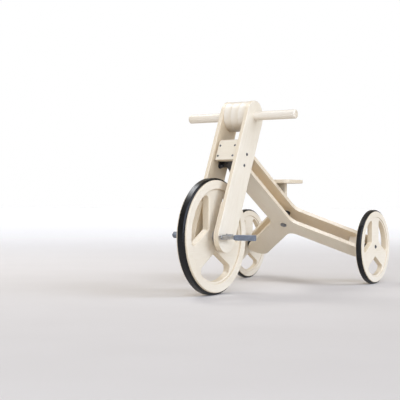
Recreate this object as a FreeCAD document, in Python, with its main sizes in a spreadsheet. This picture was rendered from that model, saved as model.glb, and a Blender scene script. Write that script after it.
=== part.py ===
import FreeCAD, Part
import math, os
import Sketcher

# Children's pedal tricycle: birch plywood frame, wooden wheels with rubber tyres,
# steered front fork with direct-drive pedals.
# World frame: +X forward, +Y left, +Z up, origin on the ground under the middle of the trike.

V = FreeCAD.Vector
doc = FreeCAD.newDocument("tricycle")
sheet = doc.addObject("Spreadsheet::Sheet", "Dims")
_row = [1]


def dim(alias, value):
    cell = "A%d" % _row[0]
    sheet.set(cell, repr(float(value)))
    sheet.setAlias(cell, alias)
    _row[0] += 1


for _alias, _value in (
    # overall layout
    ("wheel_base", 635.0), ("front_radius", 175.0), ("rear_radius", 125.0), ("track_width", 518.0),
    ("slope_deg", 30.0), ("rake_deg", 25.0),
    # frame plates (Y shape, two layers of 12 mm plywood with a 36 mm gap)
    ("ply", 12.0), ("plate_gap", 36.0), ("plate_drop", 25.0), ("junction_pos", 195.0),
    ("stem_reach", 333.0), ("arm_reach_long", 268.7), ("plate_half", 37.5),
    ("bend_fillet", 60.0), ("crotch_fillet", 26.0),
    ("junction_bore", 4.0), ("bush_outer", 9.0), ("bush_flange", 14.0), ("pin_radius", 6.0), ("pin_bore", 6.05),
    # arm end blocks and rear stub axles
    ("block_len", 46.0), ("block_wide", 44.0), ("stub_radius", 4.0), ("sleeve_radius", 10.0),
    ("stub_head", 3.1),
    # seat
    ("seat_top", 351.0), ("seat_width", 150.0), ("seat_back", 145.0), ("seat_front", 298.0),
    ("seat_round_back", 55.0), ("seat_round_front", 20.0), ("post_back", 229.0),
    # fork
    ("blade_half", 48.0), ("blade_len", 409.0), ("blade_inner", 38.0), ("doubler", 6.0),
    ("doubler_reach", 94.0), ("disc_thick", 25.0), ("disc_radius", 47.0), ("bar_radius", 14.0),
    ("bar_len", 384.0),
    ("front_plate_wide", 66.0), ("front_plate_tall", 66.0), ("front_plate_base", 239.0),
    ("block_front", 26.0), ("block_back", -28.0), ("bracket_thick", 4.0), ("bracket_round", 25.0),
    # front wheel
    ("front_wood", 168.5), ("front_web", 24.0), ("front_ring", 6.0), ("front_ring_inner", 141.5),
    ("front_bead", 163.5), ("front_window_apex", 45.5), ("front_window_outer", 134.8),
    ("front_window_round", 15.0), ("axle_radius", 6.0), ("flange_radius", 22.0),
    # rear wheels
    ("rear_wood", 120.0), ("rear_web", 18.0), ("rear_ring", 3.0), ("rear_ring_inner", 100.8),
    ("rear_bead", 115.0), ("rear_window_apex", 32.4), ("rear_window_outer", 96.0),
    ("rear_window_round", 9.0),
    # cranks and pedals
    ("crank_throw", 50.0), ("crank_end", 7.0), ("crank_thick", 9.0), ("spindle_radius", 4.5),
    ("pedal_bore", 4.55), ("pedal_len", 60.0), ("pedal_deep", 16.5), ("pedal_tall", 16.5),
):
    dim(_alias, _value)
doc.recompute()


def val(alias):
    return float(sheet.get(alias))


def E(alias):
    return "Dims." + alias


PARTS = []          # finished sub-parts, in the order they are written


def keep(obj, label, placement=None):
    obj.Label = label
    if placement is not None:
        obj.Placement = placement
    PARTS.append(obj)
    return obj


def rotation(axis, angle):
    return FreeCAD.Rotation(V(*axis), angle)


# ---------------------------------------------------------------- reference frames
WB = val("wheel_base")
XO = -(WB + val("front_radius") - val("rear_radius")) / 2.0
AXLE_R = V(XO, 0, val("rear_radius"))
AXLE_F = V(XO + WB, 0, val("front_radius"))
SLOPE = rotation((0, 1, 0), -val("slope_deg"))      # X along the stem, Z normal to the plates
RAKE = rotation((0, 1, 0), -val("rake_deg"))        # Z along the fork blades


def in_frame(a, y, h, extra=None):
    """Placement at (a along the slope, y, h above the rear axle line), square to the plates."""
    rot = SLOPE if extra is None else SLOPE.multiply(extra)
    return FreeCAD.Placement(AXLE_R + SLOPE.multVec(V(a, y, h)), rot)


def in_fork(q, y, s, extra=None):
    """Placement at (q forward, y, s up the blades from the front axle), square to the blades."""
    rot = RAKE if extra is None else RAKE.multiply(extra)
    return FreeCAD.Placement(AXLE_F + RAKE.multVec(V(q, y, s)), rot)


def at(base, x=0.0, y=0.0, z=0.0, extra=None):
    return FreeCAD.Placement(base + V(x, y, z), extra if extra is not None else FreeCAD.Rotation())


# ---------------------------------------------------------------- sketch helpers
def plane(body, role):
    return [f for f in body.Origin.OriginFeatures if f.Role == role][0]


def new_body(name):
    return doc.addObject("PartDesign::Body", name)


def sketch(body, name, role="XY_Plane", offset=None):
    s = body.newObject("Sketcher::SketchObject", name)
    s.AttachmentSupport = [(plane(body, role), "")]
    s.MapMode = "FlatFace"
    if offset is not None:
        s.AttachmentOffset = offset
    return s


def bind(s, kind, args, expr, value):
    i = s.addConstraint(Sketcher.Constraint(kind, *args, value))
    s.setExpression("Constraints[%d]" % i, expr)
    return i


def number(expr):
    text = expr
    for _a in sorted(_ALIASES, key=len, reverse=True):
        text = text.replace("Dims." + _a, "(%r)" % val(_a))
    total = _arith(text)
    return total


def _arith(text):
    """Plain + - * / ( ) arithmetic on numbers."""
    pos = [0]
    text = text.replace(" ", "")

    def atom():
        if text[pos[0]] == "-":
            pos[0] += 1
            return -atom()
        if text[pos[0]] == "(":
            pos[0] += 1
            v = total()
            pos[0] += 1
            return v
        i = pos[0]
        while i < len(text) and (text[i].isdigit() or text[i] == "."):
            i += 1
        v = float(text[pos[0]:i])
        pos[0] = i
        return v

    def term():
        v = atom()
        while pos[0] < len(text) and text[pos[0]] in "*/":
            op = text[pos[0]]
            pos[0] += 1
            w = atom()
            v = v * w if op == "*" else v / w
        return v

    def total():
        v = term()
        while pos[0] < len(text) and text[pos[0]] in "+-":
            op = text[pos[0]]
            pos[0] += 1
            w = term()
            v = v + w if op == "+" else v - w
        return v

    return total()


_ALIASES = [sheet.getAlias("A%d" % i) for i in range(1, _row[0])]


def circle(s, r_expr, x_expr=None, y_expr=None):
    r = number(r_expr)
    x = number(x_expr) if x_expr else 0.0
    y = number(y_expr) if y_expr else 0.0
    g = s.addGeometry(Part.Circle(V(x, y, 0), V(0, 0, 1), r), False)
    bind(s, "Radius", (g,), r_expr, r)
    if not x_expr and not y_expr:
        s.addConstraint(Sketcher.Constraint("Coincident", g, 3, -1, 1))
    else:
        if x_expr:
            bind(s, "DistanceX", (-1, 1, g, 3), x_expr, x)
        else:
            s.addConstraint(Sketcher.Constraint("PointOnObject", g, 3, -2))
        if y_expr:
            bind(s, "DistanceY", (-1, 1, g, 3), y_expr, y)
        else:
            s.addConstraint(Sketcher.Constraint("PointOnObject", g, 3, -1))
    return g


def polygon(s, pts):
    """Closed outline; each corner is a pair of expressions, or None for a corner on an axis."""
    num = [(number(x) if x else 0.0, number(y) if y else 0.0) for x, y in pts]
    n = len(pts)
    first = None
    for i in range(n):
        a, b = num[i], num[(i + 1) % n]
        g = s.addGeometry(Part.LineSegment(V(a[0], a[1], 0), V(b[0], b[1], 0)), False)
        first = g if first is None else first
    for i in range(n):
        s.addConstraint(Sketcher.Constraint("Coincident", first + i, 2, first + (i + 1) % n, 1))
    for i in range(n):
        g = first + i
        if pts[i][0]:
            bind(s, "DistanceX", (-1, 1, g, 1), pts[i][0], num[i][0])
        else:
            s.addConstraint(Sketcher.Constraint("PointOnObject", g, 1, -2))
        if pts[i][1]:
            bind(s, "DistanceY", (-1, 1, g, 1), pts[i][1], num[i][1])
        else:
            s.addConstraint(Sketcher.Constraint("PointOnObject", g, 1, -1))
    return first


def rectangle(s, w_expr, h_expr):
    """Rectangle centred on the sketch origin."""
    a, b = "(%s)/2" % w_expr, "(%s)/2" % h_expr
    polygon(s, [("-" + a, "-" + b), (a, "-" + b), (a, b), ("-" + a, b)])


def slot(s, len_expr, r_expr):
    """Round-ended strip from the sketch origin along +Y."""
    L, r = number(len_expr), number(r_expr)
    a0 = s.addGeometry(Part.ArcOfCircle(Part.Circle(V(0, 0, 0), V(0, 0, 1), r), math.pi, 2 * math.pi), False)
    a1 = s.addGeometry(Part.ArcOfCircle(Part.Circle(V(0, L, 0), V(0, 0, 1), r), 0, math.pi), False)
    l0 = s.addGeometry(Part.LineSegment(V(-r, 0, 0), V(-r, L, 0)), False)
    l1 = s.addGeometry(Part.LineSegment(V(r, 0, 0), V(r, L, 0)), False)
    s.addConstraint(Sketcher.Constraint("Coincident", a0, 3, -1, 1))
    s.addConstraint(Sketcher.Constraint("PointOnObject", a1, 3, -2))
    s.addConstraint(Sketcher.Constraint("Tangent", l0, 1, a0, 1))
    s.addConstraint(Sketcher.Constraint("Tangent", l1, 1, a0, 2))
    s.addConstraint(Sketcher.Constraint("Tangent", l0, 2, a1, 2))
    s.addConstraint(Sketcher.Constraint("Tangent", l1, 2, a1, 1))
    bind(s, "Radius", (a0,), r_expr, r)
    bind(s, "DistanceY", (-1, 1, a1, 3), len_expr, L)


def tongue(s, len_expr, r_expr):
    """Strip from the sketch origin along +Y: round at the origin end, square at the far end."""
    L, r = number(len_expr), number(r_expr)
    a0 = s.addGeometry(Part.ArcOfCircle(Part.Circle(V(0, 0, 0), V(0, 0, 1), r), math.pi, 2 * math.pi), False)
    l0 = s.addGeometry(Part.LineSegment(V(-r, 0, 0), V(-r, L, 0)), False)
    l1 = s.addGeometry(Part.LineSegment(V(-r, L, 0), V(r, L, 0)), False)
    l2 = s.addGeometry(Part.LineSegment(V(r, L, 0), V(r, 0, 0)), False)
    s.addConstraint(Sketcher.Constraint("Coincident", a0, 3, -1, 1))
    s.addConstraint(Sketcher.Constraint("Tangent", l0, 1, a0, 1))
    s.addConstraint(Sketcher.Constraint("Tangent", l2, 2, a0, 2))
    s.addConstraint(Sketcher.Constraint("Coincident", l0, 2, l1, 1))
    s.addConstraint(Sketcher.Constraint("Coincident", l1, 2, l2, 1))
    s.addConstraint(Sketcher.Constraint("Horizontal", l1))
    s.addConstraint(Sketcher.Constraint("Vertical", l0))
    bind(s, "Radius", (a0,), r_expr, r)
    bind(s, "DistanceY", (-1, 1, l1, 1), len_expr, L)


def window(s, apex_expr, outer_expr):
    """Three-sided wheel window pointing at the hub: two straight sides 120 degrees apart and an outer arc."""
    d, R = number(apex_expr), number(outer_expr)
    # each side leaves the apex 60 degrees from the -Y axis and ends on the outer arc
    sx, sy = math.sin(math.radians(60)), -math.cos(math.radians(60))
    t = d * sy + math.sqrt(R * R - (d * sx) ** 2)
    px, py = t * sx, -d + t * sy
    ang = math.atan2(py, px)
    l0 = s.addGeometry(Part.LineSegment(V(0, -d, 0), V(px, py, 0)), False)
    l1 = s.addGeometry(Part.LineSegment(V(0, -d, 0), V(-px, py, 0)), False)
    arc = s.addGeometry(Part.ArcOfCircle(Part.Circle(V(0, 0, 0), V(0, 0, 1), R), math.pi - ang, 2 * math.pi + ang), False)
    s.addConstraint(Sketcher.Constraint("Coincident", l0, 1, l1, 1))
    s.addConstraint(Sketcher.Constraint("Coincident", arc, 3, -1, 1))
    s.addConstraint(Sketcher.Constraint("PointOnObject", l0, 1, -2))
    s.addConstraint(Sketcher.Constraint("Coincident", arc, 1, l1, 2))
    s.addConstraint(Sketcher.Constraint("Coincident", arc, 2, l0, 2))
    bind(s, "Radius", (arc,), outer_expr, R)
    bind(s, "DistanceY", (l0, 1, -1, 1), apex_expr, d)
    reach = "sin(60)*(sqrt(({1})^2-(({0})*sin(60))^2)-({0})*cos(60))".format(apex_expr, outer_expr)
    bind(s, "DistanceX", (-1, 1, l0, 2), reach, px)
    bind(s, "DistanceX", (l1, 2, -1, 1), reach, px)


def pad(body, s, name, length_expr, both=False, reverse=False):
    p = body.newObject("PartDesign::Pad", name)
    p.Profile = s
    p.Length = number(length_expr)
    p.setExpression("Length", length_expr)
    if both:
        p.SideType = "Symmetric"
    p.Reversed = reverse
    s.Visibility = False
    body.Tip = p
    return p


def through(body, s, name):
    """Pocket right through the solid, both ways from the sketch."""
    p = body.newObject("PartDesign::Pocket", name)
    p.Profile = s
    p.Type = "ThroughAll"
    p.SideType = "Symmetric"
    s.Visibility = False
    body.Tip = p
    return p


def pocket(body, s, name, length_expr, both=False, reverse=False):
    p = body.newObject("PartDesign::Pocket", name)
    p.Profile = s
    p.Type = "Length"
    p.Length = number(length_expr)
    p.setExpression("Length", length_expr)
    if both:
        p.SideType = "Symmetric"
    p.Reversed = reverse
    s.Visibility = False
    body.Tip = p
    return p


def edges_where(shape, test):
    return ["Edge%d" % (i + 1) for i, e in enumerate(shape.Edges) if test(e)]


def round_edges(body, name, radius, test, expr=None):
    doc.recompute()
    base = body.Tip
    names = edges_where(base.Shape, test)
    if not names:
        raise RuntimeError("no edge for " + name)
    f = body.newObject("PartDesign::Fillet", name)
    f.Base = (base, names)
    f.Radius = radius
    if expr:
        f.setExpression("Radius", expr)
    body.Tip = f
    return f


def is_circle(e, r, tol=0.01):
    return hasattr(e.Curve, "Radius") and abs(e.Curve.Radius - r) < tol


def along(e, axis):
    """A straight edge parallel to the given axis."""
    if e.Curve.TypeId != "Part::GeomLine":
        return False
    d = e.Curve.Direction
    return abs(abs(d.dot(V(*axis))) - 1) < 1e-6


def mid(e):
    return e.CenterOfMass


def ends(body):
    """Local extent of the tip's shape."""
    return body.Tip.Shape.BoundBox


# ---------------------------------------------------------------- primitive helpers
def cylinder(name, r_expr, h_expr, placement):
    c = doc.addObject("Part::Cylinder", name)
    c.setExpression("Radius", r_expr)
    c.setExpression("Height", h_expr)
    c.Placement = placement
    return c


def tube(name, ro_expr, ri_expr, h_expr, placement):
    """Cylinder with a bore, axis along its own Z."""
    a = cylinder(name + "_outer", ro_expr, h_expr, FreeCAD.Placement())
    b = cylinder(name + "_bore", ri_expr, h_expr, FreeCAD.Placement())
    c = doc.addObject("Part::Cut", name)
    c.Base, c.Tool = a, b
    c.Placement = placement
    return c


def fuse(name, items, placement=None):
    f = doc.addObject("Part::MultiFuse", name)
    f.Shapes = items
    if placement is not None:
        f.Placement = placement
    return f


def group(name, items, placement=None):
    """Several separate identical pieces in one node."""
    g = doc.addObject("Part::Compound", name)
    g.Links = items
    if placement is not None:
        g.Placement = placement
    return g


Y_AXIS = rotation((1, 0, 0), -90)     # turns a primitive's Z axis to +Y
Y_NEG = rotation((1, 0, 0), 90)       # turns a primitive's Z axis to -Y
P0 = FreeCAD.Placement()


def yplace(x, y, z, neg=False):
    return FreeCAD.Placement(V(x, y, z), Y_NEG if neg else Y_AXIS)


def stepped(name, steps, placement=None):
    """Turned part along +Z from a list of (radius expression, start, height expression)."""
    items = []
    for i, (r, z0, h) in enumerate(steps):
        items.append(cylinder("%s_%d" % (name, i), r, h, FreeCAD.Placement(V(0, 0, z0), FreeCAD.Rotation())))
    if len(items) == 1:
        items[0].Placement = placement or FreeCAD.Placement()
        return items[0]
    return fuse(name, items, placement)


# ================================================================= FRAME
PLY = val("ply")
GAP = val("plate_gap")
H0 = -val("plate_drop")               # underside of the lower plate, from the axle line
H1 = H0 + PLY                         # top of the lower plate
H2 = H1 + GAP                         # underside of the upper plate
H3 = H2 + PLY                         # top of the upper plate
J = val("junction_pos")
NOSE = J + val("stem_reach")          # steering pin position along the slope
HALF = val("plate_half")


def y_plate(label, h):
    """Y-shaped plywood plate: a stem and two arms, each a round-ended strip from the junction."""
    b = new_body(label + "_body")
    for tag, ang, length in (("stem", -90, "stem_reach"), ("arm_l", 45, "arm_reach_long"), ("arm_r", 135, "arm_reach_long")):
        s = sketch(b, "%s_%s" % (label, tag), "XY_Plane", FreeCAD.Placement(V(), rotation((0, 0, 1), ang)))
        slot(s, E(length), E("plate_half"))
        pad(b, s, "%s_%s_pad" % (label, tag), E("ply"))
    doc.recompute()
    crotch = -HALF * math.sqrt(2)
    round_edges(b, label + "_crotch", val("crotch_fillet"),
                lambda e: along(e, (0, 0, 1)) and abs(mid(e).x - crotch) < 0.5 and abs(mid(e).y) < 0.5,
                E("crotch_fillet"))
    bend = HALF * (math.sqrt(2) - 1)
    round_edges(b, label + "_bend", val("bend_fillet"),
                lambda e: along(e, (0, 0, 1)) and abs(mid(e).x - bend) < 0.5 and abs(abs(mid(e).y) - HALF) < 0.5,
                E("bend_fillet"))
    s = sketch(b, label + "_bores")
    circle(s, E("junction_bore"))
    circle(s, E("bush_outer"), E("stem_reach"))
    through(b, s, label + "_bore_cut")
    round_edges(b, label + "_ease", 0.8,
                lambda e: e.Curve.TypeId in ("Part::GeomLine", "Part::GeomCircle") and not along(e, (0, 0, 1))
                and not is_circle(e, val("junction_bore")) and not is_circle(e, val("bush_outer")))
    return keep(b, label, in_frame(J, 0, h))


y_plate("frame_plate_lower", H0)
y_plate("frame_plate_upper", H2)

# Steel tube around the steering pin that spaces the two plates.
keep(tube("head_tube_cut", E("bush_outer") + "+8", E("bush_outer") + "+1", E("plate_gap"), P0), "head_tube",
     in_frame(NOSE, 0, H1))


# Flanged nylon bushes pressed into the plates, flange between plate and steel bracket.
def flanged_bush(name, placement):
    a = cylinder(name + "_sleeve", E("bush_outer"), E("ply"), P0)
    f = cylinder(name + "_flange", E("bush_flange"), "0.8", FreeCAD.Placement(V(0, 0, -0.8), FreeCAD.Rotation()))
    bore = cylinder(name + "_bore", E("pin_bore"), E("ply") + "+0.8",
                    FreeCAD.Placement(V(0, 0, -0.8), FreeCAD.Rotation()))
    u = fuse(name + "_solid", [a, f])
    c = doc.addObject("Part::Cut", name)
    c.Base, c.Tool = u, bore
    c.Placement = placement
    return c


keep(group("head_bushes_group", [
    flanged_bush("head_bush_low", in_frame(NOSE, 0, H0)),
    flanged_bush("head_bush_up", in_frame(NOSE, 0, H3, rotation((1, 0, 0), 180)))]), "head_bushes")

# Junction bolt, cap nut and black spacer sleeve between the plates.
keep(stepped("junction_bolt_solid", [
    ("10", -4.0, "4"), (E("junction_bore"), 0.0, E("ply") + "*2+" + E("plate_gap") + "+8")],
    in_frame(J, 0, H0)), "junction_bolt")
keep(tube("junction_sleeve_cut", E("sleeve_radius") + "+2", E("junction_bore"), E("plate_gap"), in_frame(J, 0, H1)),
     "junction_sleeve")
keep(tube("junction_nut_cut", "8", E("junction_bore"), "7", in_frame(J, 0, H3)), "junction_nut")

# Blocks glued between the plates at the arm ends; each holds a rear stub axle.
ARM_Y = val("arm_reach_long") / math.sqrt(2)
ARM_A = J - ARM_Y
TRACK = val("track_width") / 2.0
REAR_W = val("rear_web") + 2 * val("rear_ring")
WHEEL_IN = TRACK - REAR_W
HUB_FACE = TRACK - val("rear_ring") + 0.3
BLOCK_OUT = ARM_Y + val("block_wide") / 2.0
for side, sign in (("left", 1), ("right", -1)):
    b = new_body("arm_block_%s_body" % side)
    s = sketch(b, "arm_block_%s_outline" % side)
    rectangle(s, E("block_len"), E("block_wide"))
    pad(b, s, "arm_block_%s_pad" % side, E("plate_gap"))
    # bore for the stub axle, along Y
    s = sketch(b, "arm_block_%s_bore" % side, "XZ_Plane")
    circle(s, E("stub_radius"), "%r" % (-ARM_A), "%r" % (0.0 - H1))
    through(b, s, "arm_block_%s_cut" % side)
    keep(b, "arm_block_" + side, in_frame(ARM_A, sign * ARM_Y, H1))

STUB_IN = ARM_Y - val("block_wide") / 2.0
for side, sign in (("left", 1), ("right", -1)):
    neg = sign < 0
    st = stepped("stub_axle_%s_solid" % side, [(E("stub_radius"), 0.0, "%r" % (HUB_FACE - STUB_IN))])
    keep(st, "stub_axle_" + side, FreeCAD.Placement(AXLE_R + V(0, sign * STUB_IN, 0), Y_NEG if neg else Y_AXIS))

keep(group("axle_spacers_group", [
    tube("axle_spacer_l", E("sleeve_radius"), E("stub_radius"), "%r" % (WHEEL_IN - 0.4 - BLOCK_OUT),
         FreeCAD.Placement(AXLE_R + V(0, BLOCK_OUT, 0), Y_AXIS)),
    tube("axle_spacer_r", E("sleeve_radius"), E("stub_radius"), "%r" % (WHEEL_IN - 0.4 - BLOCK_OUT),
         FreeCAD.Placement(AXLE_R + V(0, -BLOCK_OUT, 0), Y_NEG))]), "axle_spacers")


def button_head(name, head_r, head_h, socket_r, socket_deep):
    """Low domed head standing on z = 0, with a hexagon socket in its top."""
    rs = (head_r * head_r + head_h * head_h) / (2.0 * head_h)
    ball = doc.addObject("Part::Sphere", name + "_ball")
    ball.Radius = rs
    ball.Placement = FreeCAD.Placement(V(0, 0, head_h - rs), FreeCAD.Rotation())
    trim = cylinder(name + "_trim", "%r" % (head_r - 0.15), "%r" % (head_h + 1.0), P0)
    dome = doc.addObject("Part::Common", name + "_dome")
    dome.Base, dome.Tool = ball, trim
    hexa = doc.addObject("Part::Prism", name + "_socket")
    hexa.Polygon, hexa.Circumradius, hexa.Height = 6, socket_r, socket_deep + 1.0
    hexa.Placement = FreeCAD.Placement(V(0, 0, head_h - socket_deep), FreeCAD.Rotation())
    head = doc.addObject("Part::Cut", name)
    head.Base, head.Tool = dome, hexa
    return head


def hub_cap(name, placement):
    """Retaining screw in the end of the stub axle: washer against the axle end, low round head with a socket."""
    w = cylinder(name + "_washer", "5.4", "1.2", P0)
    hd = button_head(name + "_head", val("stub_head") + 1.4, 2.6, 1.7, 1.6)
    hd.Placement = FreeCAD.Placement(V(0, 0, 1.2), FreeCAD.Rotation())
    return fuse(name, [w, hd], placement)


keep(group("hub_screws_group", [
    hub_cap("hub_screw_l", FreeCAD.Placement(AXLE_R + V(0, HUB_FACE, 0), Y_AXIS)),
    hub_cap("hub_screw_r", FreeCAD.Placement(AXLE_R + V(0, -HUB_FACE, 0), Y_NEG))]), "hub_screws")

# ---------------------------------------------------------------- seat
SEAT_TOP = val("seat_top")
b = new_body("seat_board_body")
s = sketch(b, "seat_outline")
hw = "(" + E("seat_width") + ")/2"
polygon(s, [(E("seat_back"), "-" + hw), (E("seat_front"), "-" + hw), (E("seat_front"), hw), (E("seat_back"), hw)])
pad(b, s, "seat_pad", E("ply"))
round_edges(b, "seat_back_corners", val("seat_round_back"),
            lambda e: along(e, (0, 0, 1)) and abs(mid(e).x - val("seat_back")) < 0.5, E("seat_round_back"))
round_edges(b, "seat_front_corners", val("seat_round_front"),
            lambda e: along(e, (0, 0, 1)) and abs(mid(e).x - val("seat_front")) < 0.5, E("seat_round_front"))
s = sketch(b, "seat_screw_bores")
for px, py in ((235.0, 25.0), (235.0, -25.0), (262.0, None), (284.0, None)):
    circle(s, "2", "%r" % px, ("%r" % py) if py else None)
through(b, s, "seat_screw_cut")
s = sketch(b, "seat_screw_counterbores", "XY_Plane", FreeCAD.Placement(V(0, 0, PLY), FreeCAD.Rotation()))
for px, py in ((235.0, 25.0), (235.0, -25.0), (262.0, None), (284.0, None)):
    circle(s, "4.2", "%r" % px, ("%r" % py) if py else None)
pocket(b, s, "seat_screw_recess", "2.8")
round_edges(b, "seat_ease", 2.5,
            lambda e: not along(e, (0, 0, 1)) and not is_circle(e, 2.0) and not is_circle(e, 4.2)
            and abs(e.BoundBox.ZMin - e.BoundBox.ZMax) < 1e-6)
keep(b, "seat_board", at(V(XO, 0, SEAT_TOP - PLY)))

TAN = math.tan(math.radians(val("slope_deg")))
# height of the upper plate's top surface above ground at distance x ahead of the rear axle
Z_TOP0 = val("rear_radius") + H3 / math.cos(math.radians(val("slope_deg")))
SEAT_UNDER = SEAT_TOP - PLY
POST = val("post_back")


def top_z(x):
    return Z_TOP0 + x * TAN


# Cross board: stands on the upper plate across the stem, its foot cut to the slope.
b = new_body("seat_post_body")
s = sketch(b, "seat_post_outline", "XZ_Plane")
polygon(s, [("%s" % E("post_back"), "%r" % top_z(POST)), ("%s+%s" % (E("post_back"), E("ply")), "%r" % top_z(POST + PLY)),
            ("%s+%s" % (E("post_back"), E("ply")), "%s-%s" % (E("seat_top"), E("ply"))),
            ("%s" % E("post_back"), "%s-%s" % (E("seat_top"), E("ply")))])
pad(b, s, "seat_post_pad", "2*" + E("plate_half"), both=True)
doc.recompute()
s = sketch(b, "seat_post_screws")
for py in (25.0, -25.0):
    circle(s, "2", "%s+%s/2" % (E("post_back"), E("ply")), "%r" % py)
through(b, s, "seat_post_cut")
keep(b, "seat_post", at(V(XO, 0, 0)))

# Gusset along the middle of the stem, in front of the cross board.
b = new_body("seat_gusset_body")
s = sketch(b, "seat_gusset_outline", "XZ_Plane")
G1 = 293.0
polygon(s, [("%s+%s" % (E("post_back"), E("ply")), "%r" % top_z(POST + PLY)), ("%r" % G1, "%r" % top_z(G1)),
            ("%r" % G1, "%s-%s" % (E("seat_top"), E("ply"))),
            ("%s+%s" % (E("post_back"), E("ply")), "%s-%s" % (E("seat_top"), E("ply")))])
pad(b, s, "seat_gusset_pad", E("ply"), both=True)
s = sketch(b, "seat_gusset_screws")
for px in (262.0, 284.0):
    circle(s, "2", "%r" % px)
through(b, s, "seat_gusset_cut")
keep(b, "seat_gusset", at(V(XO, 0, 0)))


def wood_screw(name, length, placement):
    """Screw along -Z, its domed head sunk in a counterbore so that nothing stands over the board."""
    hd = button_head(name + "_head", 4.0, 2.3, 1.6, 1.3)
    hd.Placement = FreeCAD.Placement(V(0, 0, -2.8), FreeCAD.Rotation())
    sh = cylinder(name + "_shank", "2", "%r" % (length - 2.8), FreeCAD.Placement(V(0, 0, -length), FreeCAD.Rotation()))
    return fuse(name, [hd, sh], placement)


keep(group("seat_screws_group", [
    wood_screw("seat_screw_%d" % i, L_, at(V(XO, 0, SEAT_TOP), px, py, 0))
    for i, (px, py, L_) in enumerate(((235.0, 25.0, 34.0), (235.0, -25.0, 34.0), (262.0, 0.0, 24.0), (284.0, 0.0, 17.0)))]),
    "seat_screws")

# ================================================================= FORK
BLADE_IN = val("blade_inner")
BLADE_MID = BLADE_IN + PLY / 2.0
BUSH_R = 9.0
BOLTS = ((-2.5, 276.0), (-2.5, 238.0))      # (forward, up the blade) of the two bolts through each blade


def blade(label, sign):
    """Fork blade: a round-ended plywood strip standing on the front axle."""
    b = new_body(label + "_body")
    s = sketch(b, label + "_outline", "XZ_Plane")
    slot(s, E("blade_len"), E("blade_half"))
    pad(b, s, label + "_pad", E("ply"), both=True)
    s = sketch(b, label + "_bores", "XZ_Plane")
    circle(s, E("bush_outer"))
    circle(s, E("bar_radius"), None, E("blade_len"))
    for q, z in BOLTS:
        circle(s, "3", "%r" % q, "%r" % z)
    through(b, s, label + "_bore_cut")
    round_edges(b, label + "_ease", 1.5,
                lambda e: not along(e, (0, 1, 0)) and not is_circle(e, 9.0) and not is_circle(e, 14.0)
                and not is_circle(e, 3.0) and abs(e.BoundBox.YMin - e.BoundBox.YMax) < 1e-6)
    return keep(b, label, in_fork(0, sign * BLADE_MID, 0))


blade("fork_blade_left", 1)
blade("fork_blade_right", -1)
for side, sign in (("left", 1), ("right", -1)):
    # Doubler glued on the inside of the blade around the axle bore.
    lab = "fork_doubler_" + side
    b = new_body(lab + "_body")
    s = sketch(b, lab + "_outline", "XZ_Plane")
    tongue(s, E("doubler_reach"), E("blade_half"))
    pad(b, s, lab + "_pad", E("doubler"), both=True)
    round_edges(b, lab + "_corners", 4.0,
                lambda e: along(e, (0, 1, 0)) and abs(mid(e).z - val("doubler_reach")) < 0.5)
    s = sketch(b, lab + "_bore", "XZ_Plane")
    circle(s, E("bush_outer"))
    through(b, s, lab + "_bore_cut")
    inner = -sign * val("doubler") / 2.0
    round_edges(b, lab + "_ease", 2.0,
                lambda e: not is_circle(e, 9.0) and abs(e.BoundBox.YMin - e.BoundBox.YMax) < 1e-6
                and abs(e.BoundBox.YMin - inner) < 1e-3)
    keep(b, lab, in_fork(0, sign * (BLADE_IN - val("doubler") / 2.0), 0))

# Three wooden discs clamp the handlebar dowel between the blades.
DT = (2 * BLADE_IN) / 3.0
for i, nm in enumerate(("right", "centre", "left")):
    lab = "bar_disc_" + nm
    b = new_body(lab + "_body")
    s = sketch(b, lab + "_outline", "XZ_Plane")
    circle(s, E("disc_radius"))
    circle(s, E("bar_radius"))
    pad(b, s, lab + "_pad", "2*%s/3" % E("blade_inner"), both=True)
    round_edges(b, lab + "_ease", 1.2, lambda e: is_circle(e, val("disc_radius")))
    keep(b, lab, in_fork(0, (i - 1) * DT, val("blade_len")))

b = new_body("handlebar_body")
s = sketch(b, "handlebar_section", "XZ_Plane")
circle(s, E("bar_radius"))
pad(b, s, "handlebar_pad", E("bar_len"), both=True)
round_edges(b, "handlebar_ends", 4.0, lambda e: is_circle(e, val("bar_radius")))
# shallow turned ring just outside each blade, where the grip length of the bar begins
for tag, k in (("l", -53.0), ("r", 53.0)):
    s = sketch(b, "handlebar_ring_" + tag, "XZ_Plane", FreeCAD.Placement(V(0, 0, k), FreeCAD.Rotation()))
    circle(s, E("bar_radius") + "-0.3")
    circle(s, E("bar_radius") + "+1")
    pocket(b, s, "handlebar_ring_%s_cut" % tag, "2", both=True)
keep(b, "handlebar", in_fork(0, 0, val("blade_len")))

# Steering block between the blades: front and back faces run with the blades, top and bottom with the plates.
HB = H0 - 1.0 - 0.3            # top face of the lower bracket
HT = H3 + 1.0 + 0.3            # underside of the upper bracket
TILT = val("slope_deg") - val("rake_deg")
ct, stl = math.cos(math.radians(TILT)), math.sin(math.radians(TILT))
PIN0 = AXLE_R + SLOPE.multVec(V(NOSE, 0, 0))      # steering pin at axle-line height
_d = RAKE.inverted().multVec(PIN0 - AXLE_F)
PIN_Q, PIN_S = _d.x, _d.z                          # the same point in fork coordinates


def s_at(q, h):
    """Height up the blades of the plane h at forward position q."""
    return PIN_S + (h + (q - PIN_Q) * stl) / ct


b = new_body("steering_block_body")
s = sketch(b, "steering_block_outline", "XZ_Plane")
qb, qf = val("block_back"), val("block_front")
polygon(s, [(E("block_back"), "%r" % s_at(qb, HB)), (E("block_front"), "%r" % s_at(qf, HB)),
            (E("block_front"), "%r" % s_at(qf, HT)), (E("block_back"), "%r" % s_at(qb, HT))])
pad(b, s, "steering_block_pad", "2*" + E("blade_inner"), both=True)
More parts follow.
